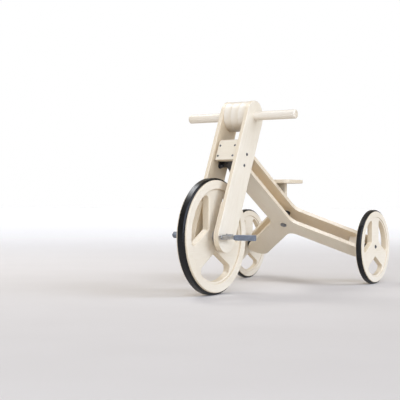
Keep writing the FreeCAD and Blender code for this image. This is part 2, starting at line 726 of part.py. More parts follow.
# bores for the upper blade bolts, and pilot bores for the front plate screws
s = sketch(b, "steering_block_bolts", "XZ_Plane")
circle(s, "3", "%r" % BOLTS[0][0], "%r" % BOLTS[0][1])
through(b, s, "steering_block_bolt_cut")
keep(b, "steering_block", in_fork(0, 0, 0))

b = new_body("block_front_plate_body")
s = sketch(b, "front_plate_outline", "YZ_Plane")
rectangle(s, E("front_plate_wide"), E("front_plate_tall"))
pad(b, s, "front_plate_pad", E("ply"))
FP_C = val("front_plate_base") + val("front_plate_tall") / 2.0
SCREWS = [(sy * 26.0, sz * 17.5 - 2.0) for sy in (1, -1) for sz in (1, -1)]
s = sketch(b, "front_plate_screw_bores", "YZ_Plane")
for yy, zz in SCREWS:
    circle(s, "2", "%r" % yy, "%r" % zz)
through(b, s, "front_plate_screw_cut")
round_edges(b, "front_plate_ease", 1.5,
            lambda e: not is_circle(e, 2.0) and abs(mid(e).x - PLY) < 1e-3)
keep(b, "block_front_plate", in_fork(qf, 0, FP_C))


def pan_screw(name, head_r, head_h, shank_r, length, placement):
    """Button-head screw along -Z, the head standing on z = 0."""
    hd = button_head(name + "_head", head_r, head_h, head_r * 0.36, head_h * 0.6)
    sh = cylinder(name + "_shank", "%r" % shank_r, "%r" % length, FreeCAD.Placement(V(0, 0, -length), FreeCAD.Rotation()))
    return fuse(name, [hd, sh], placement)


X_OUT = rotation((0, 1, 0), 90)
keep(group("front_plate_screws_group", [
    pan_screw("front_plate_screw_%d" % i, 3.6, 1.5, 2.0, PLY,
              in_fork(qf + PLY, yy, FP_C + zz, X_OUT)) for i, (yy, zz) in enumerate(SCREWS)]), "front_plate_screws")

# Button-head bolts through the blades: the upper pair into the block, the lower pair through the bracket's side tabs.
bolts = []
for side, sign in (("l", 1), ("r", -1)):
    for i, (q, z) in enumerate(BOLTS):
        length = PLY + (16.0 if i == 0 else val("bracket_thick"))
        bolts.append(pan_screw("blade_bolt_%s%d" % (side, i), 5.2, 2.6, 3.0, length,
                               in_fork(q, sign * (BLADE_IN + PLY), z, Y_AXIS if sign > 0 else Y_NEG)))
keep(group("blade_bolts_group", bolts), "blade_bolts")


def cap_nut(name, placement):
    """Domed nut: cylinder with a rounded end."""
    a = cylinder(name + "_barrel", "6.2", "6", P0)
    d = doc.addObject("Part::Sphere", name + "_dome")
    d.Radius = 6.2
    d.Placement = FreeCAD.Placement(V(0, 0, 5.0), FreeCAD.Rotation())
    half = doc.addObject("Part::Box", name + "_half")
    half.Length, half.Width, half.Height = 16.0, 16.0, 12.0
    half.Placement = FreeCAD.Placement(V(-8, -8, 5.0), FreeCAD.Rotation())
    dome = doc.addObject("Part::Common", name + "_dome_cut")
    dome.Base, dome.Tool = d, half
    return fuse(name, [a, dome], placement)


q_, z_ = BOLTS[1]
keep(group("blade_cap_nuts_group", [
    cap_nut("cap_nut_l", in_fork(q_, BLADE_IN - val("bracket_thick"), z_, Y_NEG)),
    cap_nut("cap_nut_r", in_fork(q_, -(BLADE_IN - val("bracket_thick")), z_, Y_AXIS))]), "blade_cap_nuts")

# Black steel brackets: from the block back to the steering pin, parallel to the frame plates.
BT = val("bracket_thick")


def bracket_plan(b, tag):
    s = sketch(b, tag + "_tongue", "XY_Plane", FreeCAD.Placement(V(), rotation((0, 0, 1), -90)))
    slot(s, "60", E("bracket_round"))
    pad(b, s, tag + "_tongue_pad", E("bracket_thick"))
    s = sketch(b, tag + "_wing")
    w = E("blade_inner") + "-0.2"
    polygon(s, [("45", "-(%s)" % w), ("93", "-(%s)" % w), ("93", w), ("45", w)])
    pad(b, s, tag + "_wing_pad", E("bracket_thick"))


b = new_body("bracket_upper_body")
bracket_plan(b, "bracket_upper")
s = sketch(b, "bracket_upper_bore")
circle(s, E("pin_radius"))
circle(s, "2.5", "70", "11")
circle(s, "2.5", "70", "-11")
through(b, s, "bracket_upper_cut")
keep(b, "bracket_upper", in_frame(NOSE, 0, HT))

b = new_body("bracket_lower_body")
bracket_plan(b, "bracket_lower")
# side tabs turned down against the blades, round-ended about the lower bolt
_t = SLOPE.inverted().multVec(in_fork(q_, 0, z_).Base - AXLE_R)
TAB_X, TAB_Z = _t.x - NOSE, _t.z - (HB - BT)
for tag, y0 in (("l", BLADE_IN - BT), ("r", -BLADE_IN)):
    s = sketch(b, "bracket_tab_" + tag, "XZ_Plane", FreeCAD.Placement(V(TAB_X, TAB_Z, -(y0 + BT / 2.0)), FreeCAD.Rotation()))
    slot(s, "%r" % (-TAB_Z + 1.0), "8.5")
    pad(b, s, "bracket_tab_%s_pad" % tag, E("bracket_thick"), both=True)
doc.recompute()
s = sketch(b, "bracket_lower_trim", "XZ_Plane")
polygon(s, [("20", "%s" % E("bracket_thick")), ("110", E("bracket_thick")), ("110", "40"), ("20", "40")])
through(b, s, "bracket_lower_trim_cut")
s = sketch(b, "bracket_lower_bore")
circle(s, E("pin_radius"))
circle(s, "2.5", "70", "11")
circle(s, "2.5", "70", "-11")
through(b, s, "bracket_lower_cut")
s = sketch(b, "bracket_lower_bolt", "XZ_Plane")
circle(s, "3", "%r" % TAB_X, "%r" % TAB_Z)
through(b, s, "bracket_lower_bolt_cut")
keep(b, "bracket_lower", in_frame(NOSE, 0, HB - BT))

# Screws that hold the brackets to the block, from above and from below.
keep(group("bracket_screws_group", [
    pan_screw("bracket_screw_%d" % i, 5.0, 2.5, 2.5, BT, in_frame(NOSE + 70.0, yy, HT + BT if up else HB - BT,
              None if up else rotation((1, 0, 0), 180)))
    for i, (yy, up) in enumerate(((11.0, True), (-11.0, True), (11.0, False), (-11.0, False)))]), "bracket_screws")

# Steering pin through both brackets and both bushes, with washers and a lock nut.
PIN_BOT = HB - BT - 1.6 - 9.0
keep(stepped("steering_pin_solid", [
    (E("pin_radius"), 0.0, "%r" % (HT + BT + 1.6 - PIN_BOT)), ("10.5", HT + BT + 1.6 - PIN_BOT, "6")],
    in_frame(NOSE, 0, PIN_BOT)), "steering_pin")
keep(group("pin_washers_group", [
    tube("pin_washer_up", "12", E("pin_radius"), "1.6", in_frame(NOSE, 0, HT + BT)),
    tube("pin_washer_low", "12", E("pin_radius"), "1.6", in_frame(NOSE, 0, HB - BT - 1.6))]), "pin_washers")
hexa = doc.addObject("Part::Prism", "pin_nut_hex")
hexa.Polygon, hexa.Circumradius, hexa.Height = 6, 11.0, 9.0
hexb = cylinder("pin_nut_bore", E("pin_radius"), "9", P0)
nut = doc.addObject("Part::Cut", "pin_nut_cut")
nut.Base, nut.Tool = hexa, hexb
keep(nut, "pin_nut", in_frame(NOSE, 0, PIN_BOT))


# Flanged bushes in the blades for the front axle; the flange faces the wheel.
def fork_bush(name, sign):
    ln = PLY + val("doubler")
    a = cylinder(name + "_sleeve", E("bush_outer"), "%r" % ln, P0)
    f = cylinder(name + "_flange", "13", "1.5", FreeCAD.Placement(V(0, 0, -1.5), FreeCAD.Rotation()))
    u = fuse(name + "_solid", [a, f])
    bore = cylinder(name + "_bore", E("pin_bore"), "%r" % (ln + 1.5), FreeCAD.Placement(V(0, 0, -1.5), FreeCAD.Rotation()))
    c = doc.addObject("Part::Cut", name)
    c.Base, c.Tool = u, bore
    c.Placement = FreeCAD.Placement(AXLE_F + V(0, sign * (BLADE_IN - val("doubler")), 0), Y_AXIS if sign > 0 else Y_NEG)
    return c


keep(group("fork_bushes_group", [fork_bush("fork_bush_l", 1), fork_bush("fork_bush_r", -1)]), "fork_bushes")


# ================================================================= WHEELS
def wheel_web(label, wood, web, apex, outer, rnd, ease, bore_expr, centre):
    """Plywood web with three windows; spokes point up and to four and eight o'clock."""
    b = new_body(label + "_body")
    s = sketch(b, label + "_disc", "XZ_Plane")
    circle(s, E(wood))
    pad(b, s, label + "_pad", E(web), both=True)
    s = sketch(b, label + "_window", "XZ_Plane")
    window(s, E(apex), E(outer))
    p = through(b, s, label + "_window_cut")
    doc.recompute()
    pat = b.newObject("PartDesign::PolarPattern", label + "_windows")
    pat.Originals = [p]
    pat.Axis = ([f for f in b.Origin.OriginFeatures if f.Role == "Y_Axis"][0], [""])
    pat.Angle = 360
    pat.Occurrences = 3
    b.Tip = pat
    s = sketch(b, label + "_bore", "XZ_Plane")
    circle(s, bore_expr)
    through(b, s, label + "_bore_cut")
    doc.recompute()
    R = val(outer)
    round_edges(b, label + "_corners", val(rnd),
                lambda e: along(e, (0, 1, 0)) and abs(math.hypot(mid(e).x, mid(e).z) - R) < 0.5, E(rnd))
    d = val(apex)
    round_edges(b, label + "_apex", 5.0,
                lambda e: along(e, (0, 1, 0)) and abs(math.hypot(mid(e).x, mid(e).z) - d) < 0.5)
    half = val(web) / 2.0
    round_edges(b, label + "_ease", ease,
                lambda e: abs(e.BoundBox.YMin - e.BoundBox.YMax) < 1e-6 and not is_circle(e, val(wood))
                and not is_circle(e, number(bore_expr)))
    return keep(b, label, at(centre))


def ring(name, wood, inner, thick, y0, sign, ease):
    """Facing ring glued on the web; y0 is its inner face, the outer edges are rounded over."""
    b = new_body(name + "_body")
    s = sketch(b, name + "_section", "XZ_Plane")
    circle(s, E(wood))
    circle(s, E(inner))
    pad(b, s, name + "_pad", E(thick), both=True)
    t = val(thick) / 2.0
    round_edges(b, name + "_round", ease,
                lambda e: (is_circle(e, val(wood)) or is_circle(e, val(inner))) and abs(e.BoundBox.YMin - sign * t) < 1e-3)
    b.Placement = FreeCAD.Placement(V(0, y0 + sign * t, 0), FreeCAD.Rotation())
    return b


def tyre(label, outer, bead, half, crown, centre):
    """Solid rubber tyre: revolved band with rounded shoulders, seated between the facing rings."""
    b = new_body(label + "_body")
    s = sketch(b, label + "_section", "XY_Plane")
    polygon(s, [(E(bead), "-" + half), (E(outer), "-" + half), (E(outer), half), (E(bead), half)])
    r = b.newObject("PartDesign::Revolution", label + "_rev")
    r.Profile = s
    r.ReferenceAxis = (s, ["V_Axis"])
    r.Angle = 360
    b.Tip = r
    round_edges(b, label + "_shoulders", crown, lambda e: is_circle(e, val(outer)))
    return keep(b, label, at(centre))


AX_F = AXLE_F
web_f = wheel_web("front_wheel_web", "front_bead", "front_web", "front_window_apex", "front_window_outer",
                  "front_window_round", 4.0, E("axle_radius"), AX_F)
FW = val("front_web") / 2.0
rings = [ring("front_ring_l", "front_wood", "front_ring_inner", "front_ring", FW, 1, 2.8),
         ring("front_ring_r", "front_wood", "front_ring_inner", "front_ring", -FW, -1, 2.8)]
keep(group("front_rings_group", rings), "front_rings", at(AX_F))
tyre("front_tyre", "front_radius", "front_bead", "(%s)/2" % E("front_web"), 4.5, AX_F)


def flange(name, sign):
    """Steel hub flange against the web with a short collar towards the fork."""
    a = cylinder(name + "_plate", E("flange_radius"), "3", P0)
    c = cylinder(name + "_collar", "11", "%r" % (BLADE_IN - val("doubler") - 1.5 - 0.5 - FW), P0)
    u = fuse(name + "_solid", [a, c])
    bore = cylinder(name + "_bore", E("axle_radius"), "30", P0)
    k = doc.addObject("Part::Cut", name)
    k.Base, k.Tool = u, bore
    k.Placement = FreeCAD.Placement(V(0, sign * FW, 0), Y_AXIS if sign > 0 else Y_NEG)
    return k


keep(group("hub_flanges_group", [flange("hub_flange_l", 1), flange("hub_flange_r", -1)]), "hub_flanges", at(AX_F))
BOSS_IN = BLADE_IN + PLY + 2.0        # inner face of the crank boss
BOSS_LEN = 17.0
AX_END = BOSS_IN + BOSS_LEN
keep(stepped("front_axle_solid", [(E("axle_radius"), 0.0, "%r" % (2 * AX_END))],
             FreeCAD.Placement(AX_F + V(0, -AX_END, 0), Y_AXIS)), "front_axle")

# Cranks: boss on the axle end, flat arm, round eye for the pedal spindle. Left points forward, right back.
ARM_IN = BOSS_IN + 4.0
for side, sign in (("left", 1), ("right", -1)):
    lab = "crank_" + side
    b = new_body(lab + "_body")
    s = sketch(b, lab + "_arm", "XZ_Plane", FreeCAD.Placement(V(0, 0, 0), rotation((0, 0, 1), -90)))
    slot(s, E("crank_throw"), E("crank_end"))
    pad(b, s, lab + "_arm_pad", E("crank_thick"), both=True)
    s = sketch(b, lab + "_boss", "XZ_Plane", FreeCAD.Placement(
        V(0, 0, sign * (BOSS_IN + BOSS_LEN / 2.0 - ARM_IN - val("crank_thick") / 2.0) * -1), FreeCAD.Rotation()))
    circle(s, "%s+2" % E("axle_radius"))
    pad(b, s, lab + "_boss_pad", "%r" % BOSS_LEN, both=True)
    s = sketch(b, lab + "_bores", "XZ_Plane")
    circle(s, E("axle_radius"))
    circle(s, E("spindle_radius"), E("crank_throw"))
    through(b, s, lab + "_bore_cut")
    turn = FreeCAD.Rotation() if sign > 0 else rotation((0, 1, 0), 180)
    keep(b, lab, FreeCAD.Placement(AX_F + V(0, sign * (ARM_IN + val("crank_thick") / 2.0), 0), turn))

PED_IN = 112.0                         # inner end of the pedal body
NUT_DEEP = 6.0                         # recess in the outer end for the spindle nut
PLEN = val("pedal_len")
THROW = val("crank_throw")
for side, sign in (("left", 1), ("right", -1)):
    rot = Y_AXIS if sign > 0 else Y_NEG
    base = AX_F + V(sign * THROW, 0, 0)
    ln = PED_IN + PLEN - NUT_DEEP + 0.3 - ARM_IN
    sp = stepped("pedal_spindle_%s_solid" % side, [
        (E("spindle_radius"), 0.0, "%r" % ln),
        ("7", PED_IN - 5.5 - 0.3 - ARM_IN - 1.5, "1.5"),
        ("6.5", ln, "4")])
    keep(sp, "pedal_spindle_" + side, FreeCAD.Placement(base + V(0, sign * ARM_IN, 0), rot))

# Pedals: ribbed resin body with a bore for the spindle, and an end cap at each end.
PY = PED_IN + PLEN / 2.0
for side, sign, roll in (("left", 1, 0.0), ("right", -1, 45.0)):
    lab = "pedal_" + side
    base = AX_F + V(sign * THROW, 0, 0)
    pl = FreeCAD.Placement(base + V(0, sign * PY, 0), rotation((0, 1, 0), roll))
    b = new_body(lab + "_body")
    s = sketch(b, lab + "_section", "XZ_Plane")
    rectangle(s, E("pedal_deep"), E("pedal_tall"))
    pad(b, s, lab + "_pad", E("pedal_len"), both=True)
    round_edges(b, lab + "_corners", 3.5, lambda e: along(e, (0, 1, 0)))
    # grip grooves along the four treads
    s = sketch(b, lab + "_grooves", "XZ_Plane")
    hx = E("pedal_deep") + "/2"
    hz = E("pedal_tall") + "/2"
    for c in (-3.9, 0.0, 3.9):
        lo, hi = "%r" % (c - 0.7), "%r" % (c + 0.7)
        polygon(s, [("%s-0.9" % hx, lo), ("%s+2" % hx, lo), ("%s+2" % hx, hi), ("%s-0.9" % hx, hi)])
        polygon(s, [("-(%s+2)" % hx, lo), ("-(%s-0.9)" % hx, lo), ("-(%s-0.9)" % hx, hi), ("-(%s+2)" % hx, hi)])
        polygon(s, [(lo, "%s-0.9" % hz), (hi, "%s-0.9" % hz), (hi, "%s+2" % hz), (lo, "%s+2" % hz)])
        polygon(s, [(lo, "-(%s+2)" % hz), (hi, "-(%s+2)" % hz), (hi, "-(%s-0.9)" % hz), (lo, "-(%s-0.9)" % hz)])
    through(b, s, lab + "_groove_cut")
    s = sketch(b, lab + "_bore", "XZ_Plane")
    circle(s, E("pedal_bore"))
    through(b, s, lab + "_bore_cut")
    # recess for the spindle nut, open at the outer end
    s = sketch(b, lab + "_nut_recess", "XZ_Plane", FreeCAD.Placement(
        V(0, 0, -sign * (PLEN / 2.0 - NUT_DEEP / 2.0)), FreeCAD.Rotation()))
    circle(s, "7")
    pocket(b, s, lab + "_nut_recess_cut", "%r" % NUT_DEEP, both=True)
    keep(b, lab, pl)
    # dark collar at the inner end, closed cover plate at the outer end
    collar = tube("%s_collar" % lab, "6.5", E("pedal_bore"), "5.5",
                  FreeCAD.Placement(V(0, -sign * PLEN / 2.0, 0), Y_NEG if sign > 0 else Y_AXIS))
    cb = new_body("%s_cover_body" % lab)
    s = sketch(cb, "%s_cover_section" % lab, "XZ_Plane")
    rectangle(s, E("pedal_deep") + "-0.6", E("pedal_tall") + "-0.6")
    pad(cb, s, "%s_cover_pad" % lab, "2", both=True)
    round_edges(cb, "%s_cover_corners" % lab, 3.2, lambda e: along(e, (0, 1, 0)))
    cb.Placement = FreeCAD.Placement(V(0, sign * (PLEN / 2.0 + 1.0), 0), FreeCAD.Rotation())
    keep(group(lab + "_caps_group", [collar, cb]), lab + "_caps", pl)

for side, sign in (("left", 1), ("right", -1)):
    c = AXLE_R + V(0, sign * (TRACK - REAR_W / 2.0), 0)
    RB = "6.5"
    wheel_web("rear_web_" + side, "rear_bead", "rear_web", "rear_window_apex", "rear_window_outer",
              "rear_window_round", 2.0, RB, c)
    RWH = val("rear_web") / 2.0
    rs = [ring("rear_ring_%s_out" % side, "rear_wood", "rear_ring_inner", "rear_ring", RWH, 1, 1.6),
          ring("rear_ring_%s_in" % side, "rear_wood", "rear_ring_inner", "rear_ring", -RWH, -1, 1.6)]
    keep(group("rear_rings_%s_group" % side, rs), "rear_rings_" + side, at(c))
    tyre("rear_tyre_" + side, "rear_radius", "rear_bead", "(%s)/2" % E("rear_web"), 3.6, c)
    # hub bush: sleeve through the web, with a flange on the inner face
    sl = cylinder("rear_bush_%s_sleeve" % side, RB, "%r" % (REAR_W - val("rear_ring")), FreeCAD.Placement(
        V(0, 0, -REAR_W / 2 if sign > 0 else -REAR_W / 2 + val("rear_ring")), FreeCAD.Rotation()))
    f1 = cylinder("rear_bush_%s_flange" % side, "10.5", "%r" % val("rear_ring"), FreeCAD.Placement(
        V(0, 0, -RWH - val("rear_ring") if sign > 0 else RWH), FreeCAD.Rotation()))
    u = fuse("rear_bush_%s_solid" % side, [sl, f1])
    bore = cylinder("rear_bush_%s_bore" % side, E("stub_radius") + "+0.05", "40", FreeCAD.Placement(V(0, 0, -20), FreeCAD.Rotation()))
    k = doc.addObject("Part::Cut", "rear_bush_%s_cut" % side)
    k.Base, k.Tool = u, bore
    keep(k, "rear_bush_" + side, FreeCAD.Placement(c, Y_AXIS))

# ================================================================= CHECK AND WRITE
doc.recompute()
bad = []
for o in doc.Objects:
    if any(w in ("Invalid", "Error") for w in o.State):
        bad.append("%s %s" % (o.Name, o.State))
for o in PARTS:
    sh = o.Shape
    if sh.isNull() or not sh.isValid() or not sh.Solids:
        bad.append("shape of " + o.Label)
labels = [o.Label for o in PARTS]
if len(set(labels)) != len(labels):
    bad.append("two sub-parts share a label")
if bad:
    raise RuntimeError("failed objects: " + "; ".join(bad))
os.makedirs("parts", exist_ok=True)
for o in PARTS:
    o.Shape.exportStep(os.path.join("parts", o.Label + ".step"))
    bb = o.Shape.BoundBox
    print("%-24s solids %d vol %.1f cm3  x %.1f..%.1f y %.1f..%.1f z %.1f..%.1f" % (
        o.Label, len(o.Shape.Solids), o.Shape.Volume / 1000.0, bb.XMin, bb.XMax, bb.YMin, bb.YMax, bb.ZMin, bb.ZMax))
print(len(PARTS), "sub-parts")
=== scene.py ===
import math

import bmesh
import bpy
from mathutils import Matrix, Vector


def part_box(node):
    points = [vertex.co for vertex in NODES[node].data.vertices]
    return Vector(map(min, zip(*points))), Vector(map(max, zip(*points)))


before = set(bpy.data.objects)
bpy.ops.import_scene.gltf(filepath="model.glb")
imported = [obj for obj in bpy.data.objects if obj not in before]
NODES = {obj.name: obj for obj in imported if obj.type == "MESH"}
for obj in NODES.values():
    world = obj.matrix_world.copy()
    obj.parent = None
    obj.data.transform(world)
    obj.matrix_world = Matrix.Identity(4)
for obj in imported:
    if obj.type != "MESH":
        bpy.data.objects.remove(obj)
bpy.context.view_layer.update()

C30, S30 = math.cos(math.radians(30)), math.sin(math.radians(30))
C25, S25 = math.cos(math.radians(25)), math.sin(math.radians(25))

PLATE_N = Vector((-S30, 0, C30))      # across the plies of the frame plates
PLATE_E = Vector((C30, 0, S30))       # along the stem
FORK_S = Vector((-S25, 0, C25))       # up the fork
FORK_Q = Vector((C25, 0, S25))        # forward, square to the fork
AX = Vector((1, 0, 0))
AY = Vector((0, 1, 0))
AZ = Vector((0, 0, 1))


# ------------------------------------------------------------------ node-tree helper
class Graph:
    def __init__(self, name):
        self.mat = bpy.data.materials.new(name)
        self.mat.use_nodes = True
        self.t = self.mat.node_tree
        self.t.nodes.clear()
        self.out = self.t.nodes.new("ShaderNodeOutputMaterial")
        self.bsdf = self.t.nodes.new("ShaderNodeBsdfPrincipled")
        self.t.links.new(self.bsdf.outputs["BSDF"], self.out.inputs["Surface"])
        tc = self.t.nodes.new("ShaderNodeTexCoord")
        self.pos = tc.outputs["Object"]
        self.nrm = tc.outputs["Normal"]

    def put(self, sock, v):
        if isinstance(v, bpy.types.NodeSocket):
            self.t.links.new(v, sock)
        elif v is not None:
            if hasattr(sock.default_value, "__len__") and not hasattr(v, "__len__"):
                v = (v,) * len(sock.default_value)
            if hasattr(v, "__len__") and hasattr(sock.default_value, "__len__") and len(sock.default_value) == 4 and len(v) == 3:
                v = (*v, 1.0)
            sock.default_value = v

    def m(self, op, a, b=None, c=None, clamp=False):
        n = self.t.nodes.new("ShaderNodeMath")
        n.operation = op
        n.use_clamp = clamp
        for i, v in enumerate((a, b, c)):
            if v is not None:
                self.put(n.inputs[i], v)
        return n.outputs[0]

    def vm(self, op, a, b=None, scale=None):
        n = self.t.nodes.new("ShaderNodeVectorMath")
        n.operation = op
        self.put(n.inputs[0], a)
        if b is not None:
            self.put(n.inputs[1], b)
        if scale is not None:
            self.put(n.inputs["Scale"], scale)
        return n.outputs["Value"] if op in ("DOT_PRODUCT", "LENGTH") else n.outputs["Vector"]

    def dot(self, a, v):
        return self.vm("DOT_PRODUCT", a, tuple(v))

    def xyz(self, x, y, z):
        n = self.t.nodes.new("ShaderNodeCombineXYZ")
        for i, v in enumerate((x, y, z)):
            self.put(n.inputs[i], v)
        return n.outputs[0]

    def span(self, v, a, b, lo=0.0, hi=1.0, smooth=True):
        n = self.t.nodes.new("ShaderNodeMapRange")
        n.interpolation_type = "SMOOTHSTEP" if smooth else "LINEAR"
        n.clamp = True
        for k, x in (("Value", v), ("From Min", a), ("From Max", b), ("To Min", lo), ("To Max", hi)):
            self.put(n.inputs[k], x)
        return n.outputs["Result"]

    def noise(self, vec, scale=1.0, detail=3.0, rough=0.55, dist=0.0):
        n = self.t.nodes.new("ShaderNodeTexNoise")
        self.put(n.inputs["Vector"], vec)
        self.put(n.inputs["Scale"], scale)
        self.put(n.inputs["Detail"], detail)
        self.put(n.inputs["Roughness"], rough)
        self.put(n.inputs["Distortion"], dist)
        return n.outputs["Fac"]

    def cells(self, vec, scale=1.0, feature="F1"):
        n = self.t.nodes.new("ShaderNodeTexVoronoi")
        n.feature = feature
        self.put(n.inputs["Vector"], vec)
        self.put(n.inputs["Scale"], scale)
        return n.outputs["Distance"]

    def mix(self, fac, a, b, mode="MIX"):
        n = self.t.nodes.new("ShaderNodeMix")
        n.data_type = "RGBA"
        n.blend_type = mode
        self.put(n.inputs["Factor"], fac)
        self.put(n.inputs[6], a)
        self.put(n.inputs[7], b)
        return n.outputs[2]

    def bump(self, height, strength, distance, after=None):
        n = self.t.nodes.new("ShaderNodeBump")
        self.put(n.inputs["Height"], height)
        self.put(n.inputs["Strength"], strength)
        self.put(n.inputs["Distance"], distance)
        if after is not None:
            self.put(n.inputs["Normal"], after)
        return n.outputs["Normal"]

    def set(self, **kw):
        for k, v in kw.items():
            self.put(self.bsdf.inputs[k.replace("_", " ")], v)
        return self.mat


def wear(g, col, amount=0.10):
    """Slow change of tone over the whole part, as handled wood has."""
    slow = g.noise(g.pos, 9.0, 2.0, 0.5)
    return g.mix(g.span(slow, 0.35, 0.75, 0.0, amount), col, (0.58, 0.49, 0.36))


# ------------------------------------------------------------------ wood
FACE_LIGHT = (0.765, 0.690, 0.560)
FACE_DARK = (0.690, 0.595, 0.440)
FIBRE = (0.540, 0.430, 0.275)
PLY_LIGHT = (0.750, 0.655, 0.500)
PLY_DARK = (0.600, 0.470, 0.295)
GLUE = (0.400, 0.285, 0.160)


def plywood(name, n, base, thick, plies, grain, seed=0.0, painted_shade_side=0):
    """Birch plywood: rotary-cut veneer on the two faces, the plies showing on every cut edge.

    n is the direction across the plies, base the distance of the lower face along it, thick the board's thickness,
    and grain the direction of the face veneer. The last argument marks the face that looks inward, 1 upper, -1 lower:
    that face is painted with shade, a darker tan tint mixed in for the shade and warm bounce light between the
    boards."""
    g = Graph(name)
    n = Vector(n).normalized()
    grain = Vector(grain).normalized()
    side = n.cross(grain).normalized()
    across = g.m("DIVIDE", g.m("SUBTRACT", g.dot(g.pos, n), base), thick)
    u = g.m("ADD", g.dot(g.pos, grain), seed)
    v = g.m("ADD", g.dot(g.pos, side), seed * 0.37)
    # face veneer: long flame-like contours, fine fibres and short dark pores
    slow = g.noise(g.xyz(g.m("MULTIPLY", u, 2.6), g.m("MULTIPLY", v, 15.0), seed), 1.0, 2.5, 0.5, 0.35)
    flame = g.m("SINE", g.m("MULTIPLY", slow, 62.0))
    flame = g.span(flame, -0.9, 1.0)
    broad = g.noise(g.xyz(g.m("MULTIPLY", u, 1.5), g.m("MULTIPLY", v, 6.0), seed + 3.0), 1.0, 2.0, 0.5)
    fibre = g.noise(g.xyz(g.m("MULTIPLY", u, 22.0), g.m("MULTIPLY", v, 620.0), seed), 1.0, 3.0, 0.6)
    pores = g.noise(g.xyz(g.m("MULTIPLY", u, 130.0), g.m("MULTIPLY", v, 1500.0), seed + 7.0), 1.0, 1.0, 0.4)
    pore = g.span(pores, 0.66, 0.74)
    face = g.mix(g.span(broad, 0.30, 0.72, 0.0, 0.55), FACE_LIGHT, FACE_DARK)
    face = g.mix(g.m("MULTIPLY", flame, 0.20), face, FACE_DARK)
    face = g.mix(g.span(fibre, 0.46, 0.72, 0.0, 0.20), face, FIBRE)
    face = g.mix(g.m("MULTIPLY", pore, 0.30), face, FIBRE)
    # cut edge: plies turn about one by one, with a thin dark glue line between them
    layer = g.m("MULTIPLY", across, float(plies))
    odd = g.m("MODULO", g.m("FLOOR", layer), 2.0)
    odd = g.m("ABSOLUTE", odd)
    line = g.m("ABSOLUTE", g.m("SUBTRACT", g.m("FRACT", layer), 0.5))
    line = g.span(line, 0.40, 0.49)
    mottle = g.noise(g.pos, 240.0, 3.0, 0.6)
    ends = g.noise(g.pos, 1300.0, 2.0, 0.6)
    edge = g.mix(g.m("MULTIPLY", odd, g.span(mottle, 0.2, 0.8, 0.45, 0.95)), PLY_LIGHT, PLY_DARK)
    edge = g.mix(g.span(ends, 0.50, 0.78, 0.0, 0.30), edge, FIBRE)
    edge = g.mix(g.m("MULTIPLY", line, 0.42), edge, GLUE)
    flat = g.m("ABSOLUTE", g.dot(g.nrm, n))
    on_face = g.span(flat, 0.70, 0.93)
    col = g.mix(on_face, edge, face)
    # painted shade: the face that looks into the gap between boards is mixed toward a darker tan, standing in for the
    # shade and warm bounce light there
    if painted_shade_side:
        painted_shade_amount = g.span(g.m("MULTIPLY", g.dot(g.nrm, n), float(painted_shade_side)), 0.75, 0.95, 0.0, 0.46)
        col = g.mix(painted_shade_amount, col, (0.760, 0.575, 0.335))
    col = wear(g, col)
    height = g.m("SUBTRACT", g.m("MULTIPLY", fibre, 0.5), g.m("MULTIPLY", pore, 0.8))
    height_e = g.m("SUBTRACT", g.m("MULTIPLY", ends, 0.6), g.m("MULTIPLY", line, 0.9))
    h = g.m("ADD", g.m("MULTIPLY", height, on_face), g.m("MULTIPLY", height_e, g.m("SUBTRACT", 1.0, on_face)))
    rough = g.m("ADD", g.span(mottle, 0.25, 0.75, 0.36, 0.46), g.m("MULTIPLY", on_face, -0.03))
    return g.set(Base_Color=col, Roughness=rough, Normal=g.bump(h, 0.35, 0.00022),
                 IOR=1.47, Coat_Weight=0.22, Coat_Roughness=0.28)


